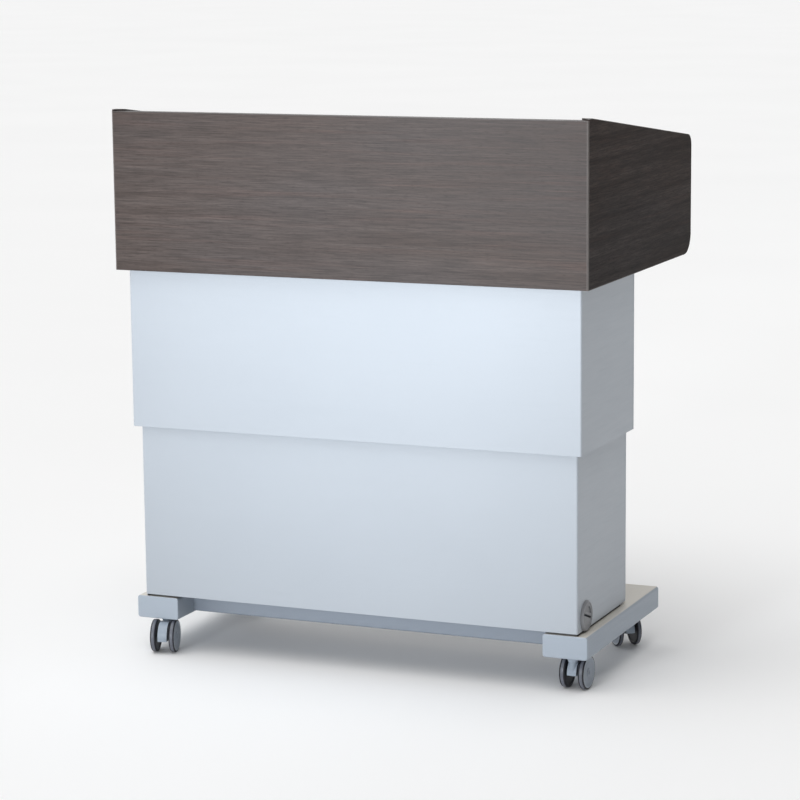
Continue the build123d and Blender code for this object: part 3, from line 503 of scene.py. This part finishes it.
def core_outline(radius, half):
    """Section of a wheel's black core: round shoulders, a tread seat and a seat for the disc."""
    shoulder = radius - SHOULDER_DROP
    seat = radius - TREAD_DEPTH
    disc_r = radius - DISC_INSET
    middle = half - SHOULDER_ROUND
    turn_in = shoulder - SHOULDER_ROUND
    return [
        (AXLE_HOLE_R, -half + INNER_DISH), (disc_r - 4.0 * MM, -half + INNER_DISH),
        (disc_r - 3.0 * MM, -half),
        *arc((turn_in, -middle), SHOULDER_ROUND, -90, 0, SHOULDER_STEPS),
        (shoulder, -TREAD_HALF - FIT), (seat, -TREAD_HALF),
        (seat, TREAD_HALF), (shoulder, TREAD_HALF + FIT),
        *arc((turn_in, middle), SHOULDER_ROUND, 0, 90, SHOULDER_STEPS),
        (disc_r, half - FIT), (disc_r, half - DISC_SEAT), (AXLE_HOLE_R, half - DISC_SEAT),
    ]


def tread_outline(radius, _half):
    """Section of the grey tread let into the core: a low crown with eased edges."""
    seat = radius - TREAD_DEPTH - FIT
    crown = []
    for step in range(-TREAD_STEPS, TREAD_STEPS + 1):
        height = radius - TREAD_CROWN * (step / TREAD_STEPS) ** 2
        crown.append((height, TREAD_HALF * TREAD_FLAT * step / TREAD_STEPS))
    return [
        (seat, -TREAD_HALF), (radius - TREAD_EASE, -TREAD_HALF),
        *crown,
        (radius - TREAD_EASE, TREAD_HALF), (seat, TREAD_HALF),
    ]


def rim_outline(radius, half):
    """Section of the ring round the outer disc, which is coloured lighter as a painted highlight."""
    rim = radius - DISC_INSET - RIM_GAP
    back = half - DISC_BACK
    face = half + RIM_RISE
    return [
        (rim - RIM_WIDTH, back), (rim, back), (rim, half - 0.3 * MM), (rim - 0.5 * MM, face),
        (rim - 1.9 * MM, face), (rim - RIM_WIDTH, half - 0.9 * MM),
    ]


def disc_outline(radius, half):
    """Section of the outer disc: a dished web, a step halfway and a centre boss."""
    rim = radius - DISC_INSET - RIM_WIDTH - RIM_GAP
    back = half - DISC_BACK
    return [
        (AXLE_HOLE_R, back), (rim, back), (rim, half - 1.0 * MM),
        (rim - 6.0 * MM, half - 1.7 * MM), (rim - 7.0 * MM, half - 1.2 * MM),
        (rim - 12.0 * MM, half - 1.5 * MM), (7.6 * MM, half - 1.5 * MM),
        (6.9 * MM, half - 0.4 * MM), (6.2 * MM, half - 0.2 * MM),
        (5.2 * MM, half - 0.2 * MM), (4.6 * MM, half - 0.8 * MM), (AXLE_HOLE_R, half - 0.8 * MM),
    ]


# Each part of a wheel: its outline, its material and the record slot that it stands for.
WHEEL_PARTS = {
    "core": (core_outline, "wheel_core", "black_plastic"),
    "tread": (tread_outline, "wheel_rubber", "wheel_rubber"),
    "disc": (disc_outline, "wheel_disc", "grey_nylon"),
    "rim": (rim_outline, "wheel_rim_highlight", "grey_nylon"),
}


def make_wheels(materials):
    """Core, tread, disc and rim ring in place of each plain CAD wheel."""
    for corner in CORNERS:
        for wheel in ("wheel_a", "wheel_b"):
            node = "caster_%s_%s" % (corner, wheel)
            place, radius, half = wheel_frame(corner, wheel)
            for part, (outline, material, slot) in WHEEL_PARTS.items():
                piece = lathe(node + "_" + part, outline(radius, half), place, materials[material])
                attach(piece, node)
                if part == "core":
                    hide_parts(node)


# ---- studio ----
SKY_STRENGTH = 0.80
SKY_DIM = 0.12
SKY_FADE = (0.05, 0.75)
TOP_STRENGTH = 1.2
TOP_SPREAD = math.radians(60)
TOP_DIRECTION = Vector((0.10, 0.25, -1.0))
KEY_POWER = 515.0
KEY_COLOUR = (0.93, 0.965, 1.0)
KEY_SIZE = 0.4
KEY_CONE = math.radians(30)
KEY_PLACE = Vector((-0.45, -4.1, 1.15))
KEY_TARGET = Vector((-0.03, -0.28, 0.80))
FLOOR_SHADES = (0.93, 0.945)
FLOOR_HALF = 60.0


def make_floor():
    """A wide pale floor."""
    shader = Shader("studio_floor", roughness=0.9)
    tone = shader.noise((0.8, 0.8, 0.8), 2.0, 0.5)
    dark, light = FLOOR_SHADES
    shader.finish(shader.ramp(tone, [(0.3, (dark, dark, dark)), (0.7, (light, light, light))]))
    mesh = bmesh.new()
    bmesh.ops.create_grid(mesh, x_segments=4, y_segments=4, size=FLOOR_HALF)
    data = bpy.data.meshes.new("floor")
    mesh.to_mesh(data)
    mesh.free()
    data.materials.append(shader.material)
    floor = bpy.data.objects.new("floor", data)
    bpy.context.scene.collection.objects.link(floor)


def add_light(name, kind, energy, direction, place=(0.0, 0.0, 0.0)):
    """A lamp that shines along a direction; gives its data for the rest of its settings."""
    data = bpy.data.lights.new(name, kind)
    data.energy = energy
    lamp = bpy.data.objects.new(name, data)
    lamp.location = place
    lamp.rotation_euler = direction.to_track_quat("-Z", "Y").to_euler()
    bpy.context.scene.collection.objects.link(lamp)
    return data


def make_lights():
    """A broad light from above and a low key lamp at the front."""
    top = add_light("top", "SUN", TOP_STRENGTH, TOP_DIRECTION)
    top.angle = TOP_SPREAD
    key = add_light("key", "SPOT", KEY_POWER, KEY_TARGET - KEY_PLACE, KEY_PLACE)
    key.color = KEY_COLOUR
    key.shadow_soft_size = KEY_SIZE
    key.spot_size = KEY_CONE
    key.spot_blend = 1.0


def make_sky():
    """A white surround that fades to the right, where the studio is open and dark."""
    world = bpy.data.worlds.new("studio")
    world.use_nodes = True
    tree = world.node_tree
    background = tree.nodes["Background"]
    background.inputs["Strength"].default_value = SKY_STRENGTH
    direction = tree.nodes.new("ShaderNodeTexCoord")
    split = tree.nodes.new("ShaderNodeSeparateXYZ")
    tree.links.new(direction.outputs["Generated"], split.inputs["Vector"])
    fade = tree.nodes.new("ShaderNodeMapRange")
    limits = {"From Min": SKY_FADE[0], "From Max": SKY_FADE[1], "To Min": 1.0, "To Max": SKY_DIM}
    for name, number in limits.items():
        fade.inputs[name].default_value = number
    tree.links.new(split.outputs["X"], fade.inputs["Value"])
    tree.links.new(fade.outputs["Result"], background.inputs["Color"])
    bpy.context.scene.world = world


bpy.context.scene.view_settings.view_transform = "Standard"
make_camera()
MATERIALS = make_materials()
dress_cad_nodes(MATERIALS)
make_wheels(MATERIALS)
make_floor()
make_lights()
make_sky()
